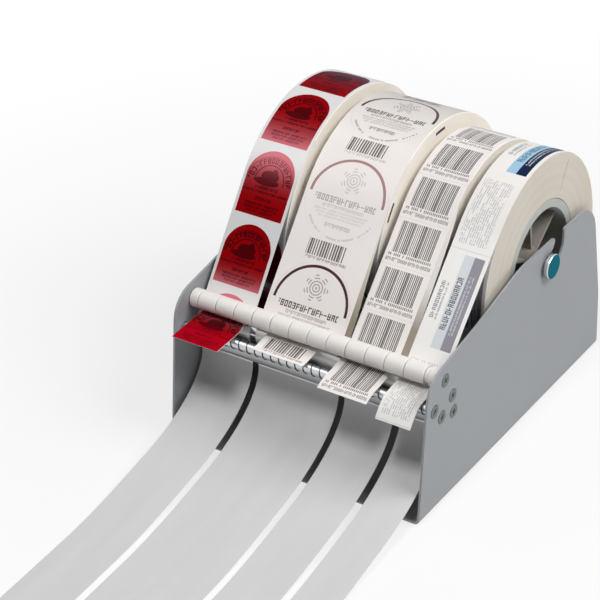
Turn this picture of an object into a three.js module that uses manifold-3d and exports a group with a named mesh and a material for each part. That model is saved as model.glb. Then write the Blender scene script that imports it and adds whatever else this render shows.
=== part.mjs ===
// Desk dispenser for rolls of labels: four rolls on one lift-out shaft, a folded sheet housing,
// a hold-down bar of rollers, a peel rod that turns the liner back, and guide rods below it.
// Millimetres. X runs across the machine, Y from the front edge to the back, Z up from the base.

import * as THREE from 'three';
import { mergeVertices } from 'three/addons/utils/BufferGeometryUtils.js';
import Module from 'manifold-3d';

const wasm = await Module();
wasm.setup();

// Clearances
const runningGap = 0.3;
const cutOverrun = 2;

// Housing: one folded sheet, a base and two side plates
const housingWidth = 198;
const housingDepth = 251.5;
const plateHeight = 125.8;
const sheet = 1.6;
const bendRadius = 3.6;
const bendSteps = 6;
const halfWidth = housingWidth / 2;
const innerHalfWidth = halfWidth - sheet;

// Outline of the side plates, each corner with the radius that rounds it
const frontLean = 12.4;
const frontDrop = 23.6;
const frontRadius = 21;
const sagBack = 72;
const sagDrop = 13.2;
const sagRadius = 120;
const crestBack = 131;
const crestRadius = 60;
const rearLean = 15;
const rearRadius = 25;
const rearKneeHeight = 44;
const rearKneeLean = 1.2;
const rearKneeRadius = 90;
const cornerRadius = 4;
const arcSteps = 5;
const frontHeight = plateHeight - frontDrop;

// Shaft that carries the rolls, and the hooked slot in each plate that it lifts out of
const shaftDrop = 16.6;
const shaftHeight = plateHeight - shaftDrop;
const shaftRadius = 6;
const shaftPlay = 0.4;
const headRadius = 9.1;
const headThickness = 3.4;
const headEdge = 0.8;
const headStandOff = 1.8;
const liftRadius = 17.2;
const slotRun = 8.6;
const slotSweepRadius = 15.2;
const lobeTipRadius = 2.8;
const mouthLip = 2.2;
const slotSteps = 5;

// Rods between the plates: distance back, drop below the plates' front corner, radius
const holdDownRod = { back: 32.9, drop: 8.5, radius: 3.4 };
const peelRod = { back: 42.1, drop: 25.2, radius: 8.8 };
const springRod = { back: 19.5, drop: 24.6, radius: 3.4 };
const guideRodFront = { back: 28.6, drop: 34.2, radius: 6 };
const guideRodRear = { back: 43.5, drop: 38.3, radius: 3.8 };
[holdDownRod, peelRod, springRod, guideRodFront, guideRodRear].forEach((rod) => {
  rod.height = frontHeight - rod.drop;
});
const rodSides = 20;
const peelRodSides = 32;

// Countersunk screws that hold the rods
const screwHeadRadius = 4.65;
const screwHeadProud = 0.25;
const screwShankRadius = 1.75;
const screwLength = 12;
const screwSides = 12;
const crossLength = 4.6;
const crossWidth = 1;
const crossDepth = 0.9;

// Hold-down bar: rollers of one length, with an end spacer at each side
const rollerRadius = 6.7;
const rollerCount = 12;
const leftSpacerLength = 7.1;
const rightSpacerLength = 11.3;
const rollerGap = 0.3;
const rollerEdge = 0.5;
const neckLength = 2.9;
const neckRadius = 5.2;
const rollerSides = 18;
const rollerStart = leftSpacerLength - innerHalfWidth;
const rollersEnd = innerHalfWidth - rightSpacerLength;
const rollerPitch = (rollersEnd - rollerStart) / rollerCount;

// Wire spring wound loosely on the front rod
const wireRadius = 0.4;
const springTurns = 30;
const springInset = 1;
const curlSteps = 8;
const wireSides = 5;

// Labels on their liner, wound on cores: places and widths as shares of the room between the
// side gaps, and the depth wound on each core as a share of the deepest
const coreOuterRadius = 45;
const coreInnerRadius = 38.9;
const rollSideGap = 2.5;
const rollBarGap = 37.4;
const rollHeightShare = 0.84758;
const rollCentreShares = [0.1106, 0.4168, 0.7105, 0.916];
const rollWidthShares = [0.2213, 0.3382, 0.1986, 0.1554];
const rollDepthShares = [1, 0.8874, 0.7035, 0.6905];
const rollSides = 64;
const coreSides = 40;
const largestRoll = (shaftHeight - sheet) * rollHeightShare;
const rollDepth = largestRoll - coreOuterRadius;
const rollRoom = 2 * (innerHalfWidth - rollSideGap);
const rolls = rollCentreShares.map((share, i) => ({
  centre: rollRoom * (share - 1 / 2),
  width: rollRoom * rollWidthShares[i],
  radius: coreOuterRadius + rollDepth * rollDepthShares[i],
}));
const shaftBack = holdDownRod.back + rollerRadius + rollBarGap + largestRoll;

// Holder that centres a core on the shaft: a hub with straight vanes
const hubRadius = 9.5;
const hubCollarRadius = 8.2;
const vaneCount = 6;
const vaneThickness = 1.8;
const vaneInset = 6.5;
const vaneTurn = Math.PI * 0.2;
const hubSides = 24;

// Liner strips: paper from the roll round the peel rod, back round the guide rod, then free
const linerThickness = 0.4;
const fallDrop = 14;
const bellyShare = 0.444;
const shoulderBack = -40;
const shoulderHeight = 9;
const shoulderPull = 38;
const shoulderRise = 5;
const restBack = -130;
const restReach = 35;
const shoulderReach = 22;
const shoulderFall = 2.9;
const driftShare = 0.043;
const stripReach = 212;
const stripReachShares = [1, 0.868, 0.67, 0.552];
const fallHeight = guideRodFront.height - fallDrop;

// Labels peeled off at the rod and left lying on the wire spring
const labelThickness = 0.3;
const peelReach = 20.5;
const peelDrop = 12.2;
const peelSlope = 0.16;
const labelBackStart = 0.5;
const labelSteps = 10;
const labelWidthShares = [0.881, 0.623, 0.989, 0.881];
const labelShiftShares = [0.0095, -0.0187, -0.008, -0.0322];
const peelReachShares = [1, 0.293, 0.805, 0.82];
const peelDropShares = [0.05, 0.016, 0.344, 1];

// Colours
const paint = 0x9da1a5;
const steel = 0xb9bcc0;
const bright = 0xd8dadc;
const plastic = 0xd9d6cf;
const paper = 0xe6e2d8;
const liner = 0xc9ccd2;
const board = 0xb4b8b8;
const holderPlastic = 0xa39c92;
const headColour = 0x1f7f90;

const machine = new THREE.Group();
machine.position.y = -housingDepth / 2;

function material(color, roughness, metalness) {
  return new THREE.MeshStandardMaterial({ color, roughness, metalness });
}

function addPiece(name, geometry, look) {
  const mesh = new THREE.Mesh(geometry, look);
  mesh.name = name;
  machine.add(mesh);
  return mesh;
}

// Solids for cutting and joining
function toSolid(geometry) {
  const plain = geometry.clone();
  plain.deleteAttribute('normal');
  plain.deleteAttribute('uv');
  const merged = mergeVertices(plain, runningGap / 3000);
  return new wasm.Manifold(new wasm.Mesh({
    numProp: 3,
    vertProperties: new Float32Array(merged.attributes.position.array),
    triVerts: new Uint32Array(merged.index.array),
  }));
}

function toGeometry(solid) {
  const mesh = solid.getMesh();
  const geometry = new THREE.BufferGeometry();
  geometry.setAttribute('position', new THREE.BufferAttribute(mesh.vertProperties, 3));
  geometry.setIndex(new THREE.BufferAttribute(mesh.triVerts, 1));
  geometry.computeVertexNormals();
  return geometry;
}

// A profile drawn in the side view (back, height), extruded across from one x to another
function across(shape, from, to) {
  const geometry = new THREE.ExtrudeGeometry(shape, { depth: to - from, bevelEnabled: false });
  const turn = new THREE.Matrix4().makeBasis(
    new THREE.Vector3(0, 1, 0), new THREE.Vector3(0, 0, 1), new THREE.Vector3(1, 0, 0));
  geometry.applyMatrix4(turn);
  geometry.translate(from, 0, 0);
  return geometry;
}

// A profile of (radius, x) points turned about a line across the machine
function turned(points, sides) {
  const profile = points.map(([radius, x]) => new THREE.Vector2(radius, x));
  const geometry = new THREE.LatheGeometry(profile, sides);
  geometry.rotateZ(-Math.PI / 2);
  return geometry;
}

// Points of a closed outline whose corners are rounded by arcs
function roundedOutline(corners, steps) {
  const points = [];
  corners.forEach(([y, z, radius], i) => {
    const corner = new THREE.Vector2(y, z);
    if (radius === 0) {
      points.push(corner);
      return;
    }
    const before = corners[(i + corners.length - 1) % corners.length];
    const after = corners[(i + 1) % corners.length];
    const toBefore = new THREE.Vector2(before[0], before[1]).sub(corner).normalize();
    const toAfter = new THREE.Vector2(after[0], after[1]).sub(corner).normalize();
    const half = Math.acos(toBefore.dot(toAfter)) / 2;
    const middle = toBefore.clone().add(toAfter).normalize();
    const centre = corner.clone().addScaledVector(middle, radius / Math.sin(half));
    const first = corner.clone().addScaledVector(toBefore, radius / Math.tan(half)).sub(centre);
    const last = corner.clone().addScaledVector(toAfter, radius / Math.tan(half)).sub(centre);
    const sweep = Math.atan2(first.cross(last), first.dot(last));
    for (let k = 0; k <= steps; k += 1) {
      const origin = new THREE.Vector2(0, 0);
      points.push(first.clone().rotateAround(origin, sweep * k / steps).add(centre));
    }
  });
  return points;
}

// Housing
function channelSection() {
  const turnRadius = bendRadius - sheet;
  const outer = [
    [-halfWidth, plateHeight + cutOverrun, 0],
    [-halfWidth, 0, bendRadius],
    [halfWidth, 0, bendRadius],
    [halfWidth, plateHeight + cutOverrun, 0],
    [innerHalfWidth, plateHeight + cutOverrun, 0],
    [innerHalfWidth, sheet, turnRadius],
    [-innerHalfWidth, sheet, turnRadius],
    [-innerHalfWidth, plateHeight + cutOverrun, 0],
  ];
  return new THREE.Shape(roundedOutline(outer, bendSteps));
}

function sideOutline() {
  return new THREE.Shape(roundedOutline([
    [0, 0, 0],
    [housingDepth, 0, cornerRadius],
    [housingDepth - rearKneeLean, rearKneeHeight, rearKneeRadius],
    [housingDepth - rearLean, plateHeight, rearRadius],
    [crestBack, plateHeight, crestRadius],
    [sagBack, plateHeight - sagDrop, sagRadius],
    [frontLean, frontHeight, frontRadius],
  ], arcSteps));
}

// The slot starts at the shaft's seat, runs back and rises to a mouth in the top edge.
// Its front wall is the lobe that the shaft swings round on its way out.
function slotShape() {
  const reach = shaftRadius + shaftPlay;
  const pivotHeight = shaftHeight + liftRadius;
  const lobeRadius = liftRadius - reach;
  const tipRise = plateHeight - lobeTipRadius - pivotHeight;
  const tipReach = lobeRadius - lobeTipRadius;
  const tipTurn = Math.asin(tipRise / tipReach);
  const tipBack = shaftBack + tipReach * Math.cos(tipTurn);
  const tipHeight = plateHeight - lobeTipRadius;
  const sweepBack = shaftBack + slotRun;
  const sweepHeight = shaftHeight - reach + slotSweepRadius;
  const wallBack = sweepBack + slotSweepRadius;
  const shape = new THREE.Shape();
  shape.moveTo(tipBack, plateHeight + cutOverrun);
  shape.lineTo(tipBack, plateHeight);
  shape.absarc(tipBack, tipHeight, lobeTipRadius, Math.PI / 2, tipTurn, true);
  shape.absarc(shaftBack, pivotHeight, lobeRadius, tipTurn, -Math.PI / 2, true);
  shape.absarc(shaftBack, shaftHeight, reach, Math.PI / 2, Math.PI * 1.5, false);
  shape.absarc(sweepBack, sweepHeight, slotSweepRadius, -Math.PI / 2, 0, false);
  shape.lineTo(wallBack, plateHeight - mouthLip);
  shape.absarc(wallBack + mouthLip, plateHeight - mouthLip, mouthLip, Math.PI, Math.PI / 2, true);
  shape.lineTo(wallBack + mouthLip, plateHeight + cutOverrun);
  return new THREE.Shape(mergedPoints(shape.getPoints(slotSteps)));
}

function mergedPoints(points) {
  return points.filter((point, i) => {
    const next = points[(i + 1) % points.length];
    return point.distanceTo(next) > runningGap / 10;
  });
}

const rods = [
  { name: 'hold_down_rod', at: holdDownRod, sides: rodSides, color: steel },
  { name: 'peel_rod', at: peelRod, sides: peelRodSides, color: bright },
  { name: 'spring_rod', at: springRod, sides: rodSides, color: bright },
  { name: 'guide_rod_front', at: guideRodFront, sides: rodSides, color: steel },
  { name: 'guide_rod_rear', at: guideRodRear, sides: rodSides, color: steel },
];

function housingGeometry() {
  const section = new THREE.ExtrudeGeometry(channelSection(), {
    depth: housingDepth + 2 * cutOverrun, bevelEnabled: false,
  });
  section.rotateX(Math.PI / 2);
  section.translate(0, housingDepth + cutOverrun, 0);
  const halfReach = halfWidth + cutOverrun;
  let solid = toSolid(section).intersect(toSolid(across(sideOutline(), -halfReach, halfReach)));
  solid = solid.subtract(toSolid(across(slotShape(), -halfReach, halfReach)));
  const inside = screwHeadRadius + runningGap - sheet;
  rods.forEach(({ at }) => {
    [-1, 1].forEach((side) => {
      const hole = turned([
        [0, innerHalfWidth - cutOverrun],
        [inside - cutOverrun, innerHalfWidth - cutOverrun],
        [inside + sheet + cutOverrun, halfWidth + cutOverrun],
        [0, halfWidth + cutOverrun],
      ], screwSides);
      if (side < 0) {
        hole.rotateZ(Math.PI);
      }
      hole.translate(0, at.back, at.height);
      solid = solid.subtract(toSolid(hole));
    });
  });
  return toGeometry(solid);
}

addPiece('housing', housingGeometry(), material(paint, 0.5, 0.2));

// Rods, each with a blind hole for a screw in both ends
const rodEnd = innerHalfWidth - runningGap;
const screwTip = halfWidth + screwHeadProud - screwLength;

rods.forEach(({ name, at, sides, color }) => {
  const hole = screwShankRadius + runningGap;
  const bottom = screwTip - runningGap;
  const rod = turned([
    [0, -bottom],
    [hole, -bottom],
    [hole, -rodEnd],
    [at.radius, -rodEnd],
    [at.radius, rodEnd],
    [hole, rodEnd],
    [hole, bottom],
    [0, bottom],
  ], sides);
  rod.translate(0, at.back, at.height);
  addPiece(name, rod, material(color, 0.25, 1));
});

function screwGeometry() {
  const face = halfWidth + screwHeadProud;
  const headBottom = innerHalfWidth + runningGap;
  const cone = halfWidth - headBottom;
  const body = toSolid(turned([
    [0, screwTip],
    [screwShankRadius, screwTip],
    [screwShankRadius, headBottom],
    [screwHeadRadius - cone, headBottom],
    [screwHeadRadius, halfWidth],
    [screwHeadRadius - screwHeadProud, face],
    [0, face],
  ], screwSides));
  const arm = new THREE.BoxGeometry(crossDepth + cutOverrun, crossLength, crossWidth);
  arm.translate(face - crossDepth / 2 + cutOverrun / 2, 0, 0);
  const other = arm.clone().rotateX(Math.PI / 2);
  return toGeometry(body.subtract(toSolid(arm)).subtract(toSolid(other)));
}

const screw = screwGeometry();
rods.forEach(({ at }, i) => {
  [-1, 1].forEach((side) => {
    const geometry = screw.clone();
    geometry.rotateX(Math.PI / 2 * ((i + 1) / (rods.length + 1)));
    if (side < 0) {
      geometry.rotateZ(Math.PI);
    }
    geometry.translate(0, at.back, at.height);
    const name = `screw_${i + 1}_${side < 0 ? 'left' : 'right'}`;
    addPiece(name, geometry, material(steel, 0.35, 1));
  });
});

// Hold-down bar
const rollerBore = holdDownRod.radius + runningGap;

function rollerGeometry(from, to) {
  return turned([
    [rollerBore, from],
    [rollerRadius - rollerEdge, from],
    [rollerRadius, from + rollerEdge],
    [rollerRadius, to - rollerEdge],
    [rollerRadius - rollerEdge, to],
    [rollerBore, to],
    [rollerBore, from],
  ], rollerSides);
}

for (let i = 0; i < rollerCount; i += 1) {
  const from = rollerStart + i * rollerPitch;
  const roller = rollerGeometry(from + rollerGap / 2, from + rollerPitch - rollerGap / 2);
  roller.translate(0, holdDownRod.back, holdDownRod.height);
  addPiece(`roller_${i + 1}`, roller, material(plastic, 0.5, 0));
}

const leftSpacer = rollerGeometry(-innerHalfWidth + runningGap, rollerStart - rollerGap / 2);
leftSpacer.translate(0, holdDownRod.back, holdDownRod.height);
addPiece('end_spacer_left', leftSpacer, material(plastic, 0.5, 0));

const spacerStart = rollersEnd + rollerGap / 2;
const spacerEnd = innerHalfWidth - runningGap;
const rightSpacer = turned([
  [rollerBore, spacerStart],
  [neckRadius, spacerStart],
  [neckRadius, spacerStart + neckLength],
  [rollerRadius - rollerEdge, spacerStart + neckLength],
  [rollerRadius, spacerStart + neckLength + rollerEdge],
  [rollerRadius, spacerEnd - rollerEdge],
  [rollerRadius - rollerEdge, spacerEnd],
  [rollerBore, spacerEnd],
  [rollerBore, spacerStart],
], rollerSides);
rightSpacer.translate(0, holdDownRod.back, holdDownRod.height);
addPiece('end_spacer_right', rightSpacer, material(plastic, 0.5, 0));

// Wire spring: one unbroken tube along a helix, its curls flat-sided but clear of the rod
const coilRadius = (springRod.radius + runningGap + wireRadius) / Math.cos(Math.PI / curlSteps);
const springHalfLength = rodEnd - springInset;

function springGeometry() {
  const rings = springTurns * curlSteps + 1;
  const pitch = 2 * springHalfLength / springTurns;
  const vertices = [];
  const indices = [];
  const centres = [];
  for (let i = 0; i < rings; i += 1) {
    const turn = 2 * Math.PI * i / curlSteps;
    const x = -springHalfLength + pitch * i / curlSteps;
    centres.push(new THREE.Vector3(x, Math.cos(turn) * coilRadius, Math.sin(turn) * coilRadius));
    const out = new THREE.Vector3(0, Math.cos(turn), Math.sin(turn));
    const along = new THREE.Vector3(
      pitch, -2 * Math.PI * coilRadius * Math.sin(turn), 2 * Math.PI * coilRadius * Math.cos(turn));
    const side = along.normalize().cross(out);
    for (let k = 0; k < wireSides; k += 1) {
      const angle = 2 * Math.PI * k / wireSides;
      const point = centres[i].clone()
        .addScaledVector(out, wireRadius * Math.cos(angle))
        .addScaledVector(side, wireRadius * Math.sin(angle));
      vertices.push(point.x, point.y, point.z);
    }
  }
  for (let i = 0; i < rings - 1; i += 1) {
    for (let k = 0; k < wireSides; k += 1) {
      const next = (k + 1) % wireSides;
      const a = i * wireSides + k;
      const b = i * wireSides + next;
      indices.push(a, b, a + wireSides, b, b + wireSides, a + wireSides);
    }
  }
  const last = (rings - 1) * wireSides;
  for (let k = 1; k < wireSides - 1; k += 1) {
    indices.push(0, k + 1, k);
    indices.push(last, last + k, last + k + 1);
  }
  let least = Infinity;
  centres.forEach((point, i) => {
    for (let j = i + curlSteps / 2; j < rings; j += 1) {
      least = Math.min(least, point.distanceTo(centres[j]) - 2 * wireRadius);
    }
  });
  console.log(`spring: least gap to itself ${least.toFixed(2)} mm`);
  const geometry = new THREE.BufferGeometry();
  geometry.setAttribute('position', new THREE.Float32BufferAttribute(vertices, 3));
  geometry.setIndex(indices);
  geometry.computeVertexNormals();
  return geometry;
}

const spring = springGeometry();
spring.translate(0, springRod.back, springRod.height);
addPiece('wire_spring', spring, material(bright, 0.25, 1));

// Shaft with a head outside each plate
const headBack = halfWidth + headStandOff;
const headFace = headBack + headThickness;
const shaft = turned([
  [0, -headFace],
  [headRadius - headEdge, -headFace],
  [headRadius, -headFace + headEdge],
  [headRadius, -headBack],
  [shaftRadius, -headBack],
  [shaftRadius, headBack],
  [headRadius, headBack],
  [headRadius, headFace - headEdge],
  [headRadius - headEdge, headFace],
  [0, headFace],
], rodSides);
shaft.translate(0, shaftBack, shaftHeight);
addPiece('shaft', shaft, material(headColour, 0.25, 1));

// Rolls of labels on their cores, and the holders inside the cores
function ring(outer, inner, from, to, sides) {
  return turned([[inner, from], [outer, from], [outer, to], [inner, to], [inner, from]], sides);
}

function holderGeometry(from, to) {
  const tip = coreInnerRadius * Math.cos(Math.PI / coreSides) - runningGap;
  const bore = shaftRadius + runningGap;
  const outline = [];
  const halfVane = vaneThickness / 2;
  const rootReach = Math.sqrt(hubRadius ** 2 - halfVane ** 2);
  const tipReach = Math.sqrt(tip ** 2 - halfVane ** 2);
  for (let i = 0; i < vaneCount; i += 1) {
    const origin = new THREE.Vector2(0, 0);
    const turn = vaneTurn + 2 * Math.PI * i / vaneCount;
    [[rootReach, -halfVane], [tipReach, -halfVane], [tipReach, halfVane], [rootReach, halfVane]]
      .forEach(([y, z]) => outline.push(new THREE.Vector2(y, z).rotateAround(origin, turn)));
    [1, 2, 3].forEach((k) => {
      const between = turn + 2 * Math.PI / vaneCount * k / 4;
      outline.push(new THREE.Vector2(hubRadius, 0).rotateAround(origin, between));
    });
  }
  const star = new THREE.Shape(outline);
  star.holes.push(new THREE.Path().absarc(0, 0, bore, 0, 2 * Math.PI, true));
  const geometry = new THREE.ExtrudeGeometry(star, {
    depth: to - from - 2 * vaneInset, bevelEnabled: false, curveSegments: hubSides,
  });
  geometry.applyMatrix4(new THREE.Matrix4().makeBasis(
    new THREE.Vector3(0, 1, 0), new THREE.Vector3(0, 0, 1), new THREE.Vector3(1, 0, 0)));
  geometry.translate(from + vaneInset, 0, 0);
  const collar = ring(hubCollarRadius, bore, from, to, hubSides);
  return toGeometry(toSolid(geometry).add(toSolid(collar)));
}

rolls.forEach(({ centre, width, radius }, i) => {
  const from = centre - width / 2;
  const to = centre + width / 2;
  const pieces = [
    [`label_roll_${i + 1}`, ring(radius, coreOuterRadius + runningGap, from, to, rollSides),
      material(paper, 0.8, 0)],
    [`core_${i + 1}`, ring(coreOuterRadius, coreInnerRadius, from, to, coreSides),
      material(board, 0.9, 0)],
    [`core_holder_${i + 1}`, holderGeometry(from, to), material(holderPlastic, 0.6, 0)],
  ];
  pieces.forEach(([name, geometry, look]) => {
    geometry.translate(0, shaftBack, shaftHeight);
    addPiece(name, geometry, look);
  });
});

// Liner strips
const sheetOffset = runningGap + linerThickness / 2;

function onCircle(centreBack, centreHeight, radius, angle) {
  return new THREE.Vector2(
    centreBack + radius * Math.cos(angle), centreHeight + radius * Math.sin(angle));
}

// Middle line of a strip in the side view, from its roll to its free end
function stripLine(rollRadius, end) {
  const peel = peelRod.radius + sheetOffset;
  const guide = guideRodFront.radius + sheetOffset;
  const outer = rollRadius + sheetOffset;
  const run = new THREE.Vector2(shaftBack - peelRod.back, shaftHeight - peelRod.height);
  const slope = run.angle() + Math.asin((outer - peel) / run.length());
  const lift = Math.PI / 2 + slope;
  const cross = new THREE.Vector2(
    guideRodFront.back - peelRod.back, guideRodFront.height - peelRod.height);
  const leave = cross.angle() - Math.acos((peel + guide) / cross.length());
  const arrive = leave - Math.PI;
  const points = [onCircle(shaftBack, shaftHeight, outer, lift)];
  const wraps = 8;
  for (let k = 0; k <= wraps; k += 1) {
    const angle = lift + (leave - lift) * k / wraps;
    points.push(onCircle(peelRod.back, peelRod.height, peel, angle));
  }
  for (let k = 0; k <= 2; k += 1) {
    const angle = arrive * (1 - k / 2);
    points.push(onCircle(guideRodFront.back, guideRodFront.height, guide, angle));
  }
  const rest = linerThickness / 2;
  const hangBack = guideRodFront.back + guide;
  const fall = new THREE.CubicBezierCurve(
    new THREE.Vector2(hangBack, fallHeight),
    new THREE.Vector2(hangBack, fallHeight * (1 - bellyShare)),
    new THREE.Vector2(shoulderBack + shoulderPull, shoulderHeight + shoulderRise),
    new THREE.Vector2(shoulderBack, shoulderHeight));
  const landing = new THREE.CubicBezierCurve(
    new THREE.Vector2(shoulderBack, shoulderHeight),
    new THREE.Vector2(shoulderBack - shoulderReach, shoulderHeight - shoulderFall),
    new THREE.Vector2(restBack + restReach, rest),
    new THREE.Vector2(restBack, rest));
  points.push(...fall.getPoints(14));
  points.push(...landing.getPoints(10).slice(1));
  const kept = points.filter((point) => point.x > end);
  const cut = points.find((point) => point.x <= end);
  const before = kept[kept.length - 1];
  const tail = cut ? (before.x - end) / (before.x - cut.x) : 0;
  const height = cut ? before.y + (cut.y - before.y) * tail : rest;
  kept.push(new THREE.Vector2(end, height));
  return kept;
}

// Outline of a sheet of even thickness about its middle line
function sheetShape(line, thickness) {
  const upper = [];
  const lower = [];
  line.forEach((point, i) => {
    const before = line[Math.max(i - 1, 0)];
    const after = line[Math.min(i + 1, line.length - 1)];
    const along = after.clone().sub(before).normalize();
    const normal = new THREE.Vector2(-along.y, along.x).multiplyScalar(thickness / 2);
    upper.push(point.clone().add(normal));
    lower.push(point.clone().sub(normal));
  });
  return new THREE.Shape([...upper, ...lower.reverse()]);
}

rolls.forEach(({ centre, width, radius }, i) => {
  const line = stripLine(radius, -stripReach * stripReachShares[i]);
  const strip = across(sheetShape(line, linerThickness), centre - width / 2, centre + width / 2);
  const position = strip.attributes.position;
  const driftFrom = guideRodFront.back + guideRodFront.radius;
  for (let k = 0; k < position.count; k += 1) {
    const drift = Math.max(0, driftFrom - position.getY(k)) * driftShare;
    position.setX(k, position.getX(k) + drift);
  }
  strip.computeVertexNormals();
  addPiece(`liner_strip_${i + 1}`, strip, material(liner, 0.6, 0));
});

// Peeled labels
rolls.forEach((roll, i) => {
  const centre = roll.centre + roll.width * labelShiftShares[i];
  const width = roll.width * labelWidthShares[i];
  const front = springRod.back - peelReach * peelReachShares[i];
  const drop = peelDrop * peelDropShares[i];
  const peelBack = holdDownRod.back + labelBackStart;
  const restHeight = springRod.height + coilRadius + wireRadius + runningGap + labelThickness / 2;
  const line = [];
  for (let k = 0; k <= labelSteps; k += 1) {
    const back = peelBack + (front - peelBack) * k / labelSteps;
    const past = Math.max(0, springRod.back - back) / (springRod.back - front);
    const rise = Math.max(0, back - springRod.back) * peelSlope;
    line.push(new THREE.Vector2(back, restHeight + rise - drop * past ** 2));
  }
  const label = across(sheetShape(line, labelThickness), centre - width / 2, centre + width / 2);
  addPiece(`peeled_label_${i + 1}`, label, material(paper, 0.7, 0));
});

export default machine;
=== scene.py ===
import bmesh
import bpy
import math
from mathutils import Matrix, Vector


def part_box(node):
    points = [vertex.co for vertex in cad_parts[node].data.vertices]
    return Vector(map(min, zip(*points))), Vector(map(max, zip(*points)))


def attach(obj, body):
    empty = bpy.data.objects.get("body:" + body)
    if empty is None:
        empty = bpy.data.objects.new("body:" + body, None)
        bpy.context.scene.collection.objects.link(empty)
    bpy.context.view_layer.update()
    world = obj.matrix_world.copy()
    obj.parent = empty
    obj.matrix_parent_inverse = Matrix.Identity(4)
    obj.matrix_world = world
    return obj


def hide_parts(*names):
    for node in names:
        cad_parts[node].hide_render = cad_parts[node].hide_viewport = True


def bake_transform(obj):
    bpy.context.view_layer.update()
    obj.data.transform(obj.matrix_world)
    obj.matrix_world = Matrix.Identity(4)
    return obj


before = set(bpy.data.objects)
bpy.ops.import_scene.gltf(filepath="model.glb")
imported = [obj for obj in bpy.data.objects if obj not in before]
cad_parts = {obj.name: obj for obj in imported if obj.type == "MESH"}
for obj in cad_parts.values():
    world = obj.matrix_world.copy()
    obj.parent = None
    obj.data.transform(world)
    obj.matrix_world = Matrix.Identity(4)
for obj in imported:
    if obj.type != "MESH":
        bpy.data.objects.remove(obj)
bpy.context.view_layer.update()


# Camera
# One long lens looking down on the machine from the front right, as in the photograph.
camera_place = Vector((0.63946, -1.02892, 0.82571))
azimuth, elevation, roll = math.radians(34.778), math.radians(31.818), math.radians(-2.037)
camera_data = bpy.data.cameras.new("camera")
camera_data.sensor_width = 36
camera_data.lens = 123.76
camera_data.clip_end = 20
camera = bpy.data.objects.new("camera", camera_data)
bpy.context.collection.objects.link(camera)
bpy.context.scene.camera = camera
view_back = Vector((math.sin(azimuth) * math.cos(elevation),
                    -math.cos(azimuth) * math.cos(elevation), math.sin(elevation)))
view_right = Vector((math.cos(azimuth), math.sin(azimuth), 0))
view_up = view_back.cross(view_right)
turned_right = view_right * math.cos(roll) + view_up * math.sin(roll)
turned_up = view_up * math.cos(roll) - view_right * math.sin(roll)
camera_turn = Matrix((turned_right, turned_up, view_back)).transposed()
camera.matrix_world = Matrix.Translation(camera_place) @ camera_turn.to_4x4()


# Studio
# A white floor that shows the machine's soft shadow, and white all round it. A large lamp is
# high on the right, a smaller one high in front and a weak one on the left.
def new_material(name, roughness, metallic=0.0):
    material = bpy.data.materials.new(name)
    material.use_nodes = True
    shader = material.node_tree.nodes["Principled BSDF"]
    shader.inputs["Roughness"].default_value = roughness
    shader.inputs["Metallic"].default_value = metallic
    return material, material.node_tree, shader


def white_to_the_camera(tree, lit, output, share):
    """Shows plain white to the camera and in reflections, as far as share says."""
    path = tree.nodes.new("ShaderNodeLightPath")
    painted_sheen = tree.nodes.new("ShaderNodeBackground" if output.name == "World Output"
                          else "ShaderNodeEmission")
    painted_sheen.inputs[0].default_value = (1, 1, 1, 1)
    seen = path.outputs["Is Camera Ray"]
    for ray in ("Is Glossy Ray", "Is Transmission Ray"):
        either = tree.nodes.new("ShaderNodeMath")
        either.operation = "MAXIMUM"
        tree.links.new(seen, either.inputs[0])
        tree.links.new(path.outputs[ray], either.inputs[1])
        seen = either.outputs[0]
    weighed = tree.nodes.new("ShaderNodeMath")
    weighed.operation = "MULTIPLY"
    if isinstance(share, float):
        weighed.inputs[1].default_value = share
    else:
        tree.links.new(share, weighed.inputs[1])
    tree.links.new(seen, weighed.inputs[0])
    mix = tree.nodes.new("ShaderNodeMixShader")
    tree.links.new(weighed.outputs[0], mix.inputs[0])
    tree.links.new(lit.outputs[0], mix.inputs[1])
    tree.links.new(painted_sheen.outputs[0], mix.inputs[2])
    tree.links.new(mix.outputs[0], output.inputs[0])


world = bpy.data.worlds.new("studio")
bpy.context.scene.world = world
world.use_nodes = True
surround = world.node_tree.nodes["Background"]
surround.inputs["Color"].default_value = (0.98, 0.98, 1.0, 1)
surround.inputs["Strength"].default_value = 0.02
white_to_the_camera(world.node_tree, surround, world.node_tree.nodes["World Output"], 1.0)

floor_mesh = bpy.data.meshes.new("floor")
floor_form = bmesh.new()
bmesh.ops.create_grid(floor_form, x_segments=1, y_segments=1, size=6)
floor_form.to_mesh(floor_mesh)
floor_form.free()
floor = bpy.data.objects.new("floor", floor_mesh)
bpy.context.collection.objects.link(floor)
floor_gap = 0.0004
floor.location = (0, 0, -floor_gap)
floor_look, floor_tree, floor_shader = new_material("floor_white", 0.9)
floor_shader.inputs["Base Color"].default_value = (0.8, 0.8, 0.8, 1)
floor_reach = floor_tree.nodes.new("ShaderNodeVectorMath")
floor_reach.operation = "LENGTH"
floor_tree.links.new(floor_tree.nodes.new("ShaderNodeTexCoord").outputs["Object"],
                     floor_reach.inputs[0])
fade = floor_tree.nodes.new("ShaderNodeMapRange")
fade.interpolation_type = "SMOOTHSTEP"
for name, value in (("From Min", 0.15), ("From Max", 0.62), ("To Min", 0.7), ("To Max", 1.0)):
    fade.inputs[name].default_value = value
floor_tree.links.new(floor_reach.outputs["Value"], fade.inputs["Value"])
white_to_the_camera(floor_tree, floor_shader, floor_tree.nodes["Material Output"],
                    fade.outputs["Result"])
floor.data.materials.append(floor_look)


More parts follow.
